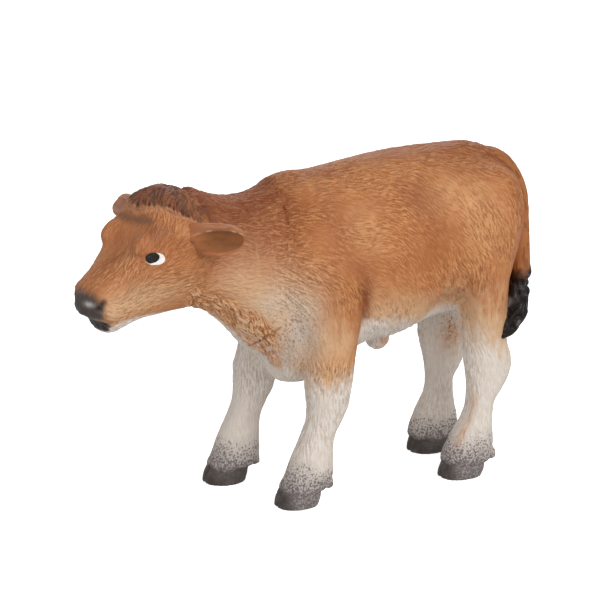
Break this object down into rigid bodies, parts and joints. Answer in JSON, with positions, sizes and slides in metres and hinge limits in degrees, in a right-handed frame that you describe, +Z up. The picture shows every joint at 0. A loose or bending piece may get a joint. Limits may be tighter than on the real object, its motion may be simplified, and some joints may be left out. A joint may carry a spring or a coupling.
{
  "type": "toy farm animal figure",
  "caption": "Standing toy calf of solid painted vinyl, head turned a little to its left, resting on flat cloven hooves.",
  "frame": {"origin": "on the floor under the middle of the figure's bounding box", "axes": "+Z up; the calf faces -X along its length, and its left side is towards -Y"},
  "size_m": [0.0798, 0.0266, 0.0535],
  "materials": {
    "torso_vinyl": "solid vinyl, satin-matte, orange-brown paint with darker wash in the hair grooves",
    "head_vinyl": "solid vinyl, satin-matte, orange-brown paint, dark poll, dark nose, glossy black eyes",
    "ear_vinyl": "solid vinyl, satin-matte, brown paint with an olive-brown hollow",
    "leg_vinyl": "solid vinyl, satin-matte, cream-white paint with grey pasterns and dark hooves",
    "tail_vinyl": "solid vinyl, brown paint with a black, slightly glossy tuft"
  },
  "bodies": {
    "root": {"torso": "torso_vinyl", "head": "head_vinyl", "left_ear": "ear_vinyl", "right_ear": "ear_vinyl", "front_left_leg": "leg_vinyl", "front_right_leg": "leg_vinyl", "hind_left_leg": "leg_vinyl", "hind_right_leg": "leg_vinyl", "tail": "tail_vinyl"}
  },
  "joints": []
}
